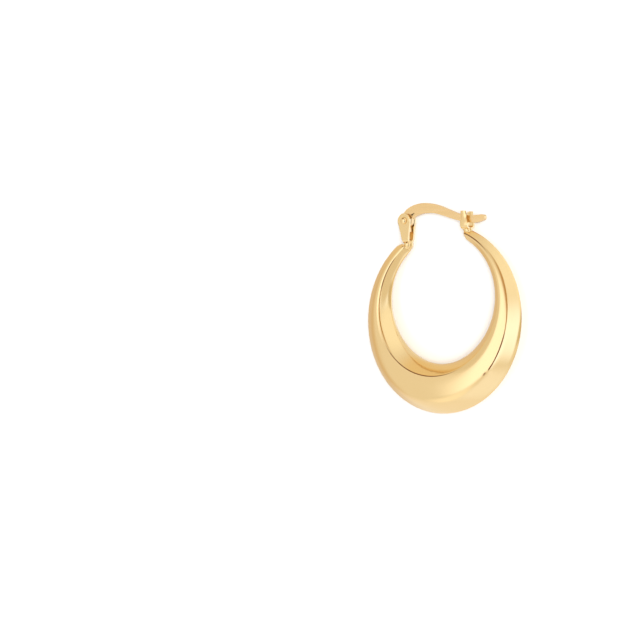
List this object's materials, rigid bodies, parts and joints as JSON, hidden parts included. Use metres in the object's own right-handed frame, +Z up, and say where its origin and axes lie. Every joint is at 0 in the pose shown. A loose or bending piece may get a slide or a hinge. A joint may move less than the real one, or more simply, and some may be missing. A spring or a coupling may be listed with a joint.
{
  "type": "creole hoop earring",
  "caption": "Creole hoop earring: tapering knife-edge hoop with a hinged flat ear wire that snaps into a soldered catch.",
  "frame": {"origin": "centre of the bounding box's underside, on the surface that the earring lies on", "axes": "+Z up from the surface; +Y from the hoop's lowest point, as worn, to the ear wire; +X from the hinge to the catch"},
  "size_m": [0.025, 0.028, 0.0053],
  "materials": {
    "polished_gold": "polished yellow gold",
    "satin_gold": "satin yellow gold"
  },
  "bodies": {
    "hoop": {"hoop": "polished_gold", "hinge_rivet": "polished_gold"},
    "ear_wire": {"ear_wire": "satin_gold"}
  },
  "joints": [
    {"name": "wire_hinge", "type": "hinge", "parent": "hoop", "child": "ear_wire", "pos_m": [-0.00584, 0.01177, 0.00103], "axis": [0, 0.0763, 0.9971], "range_deg": [0, 80]}
  ]
}
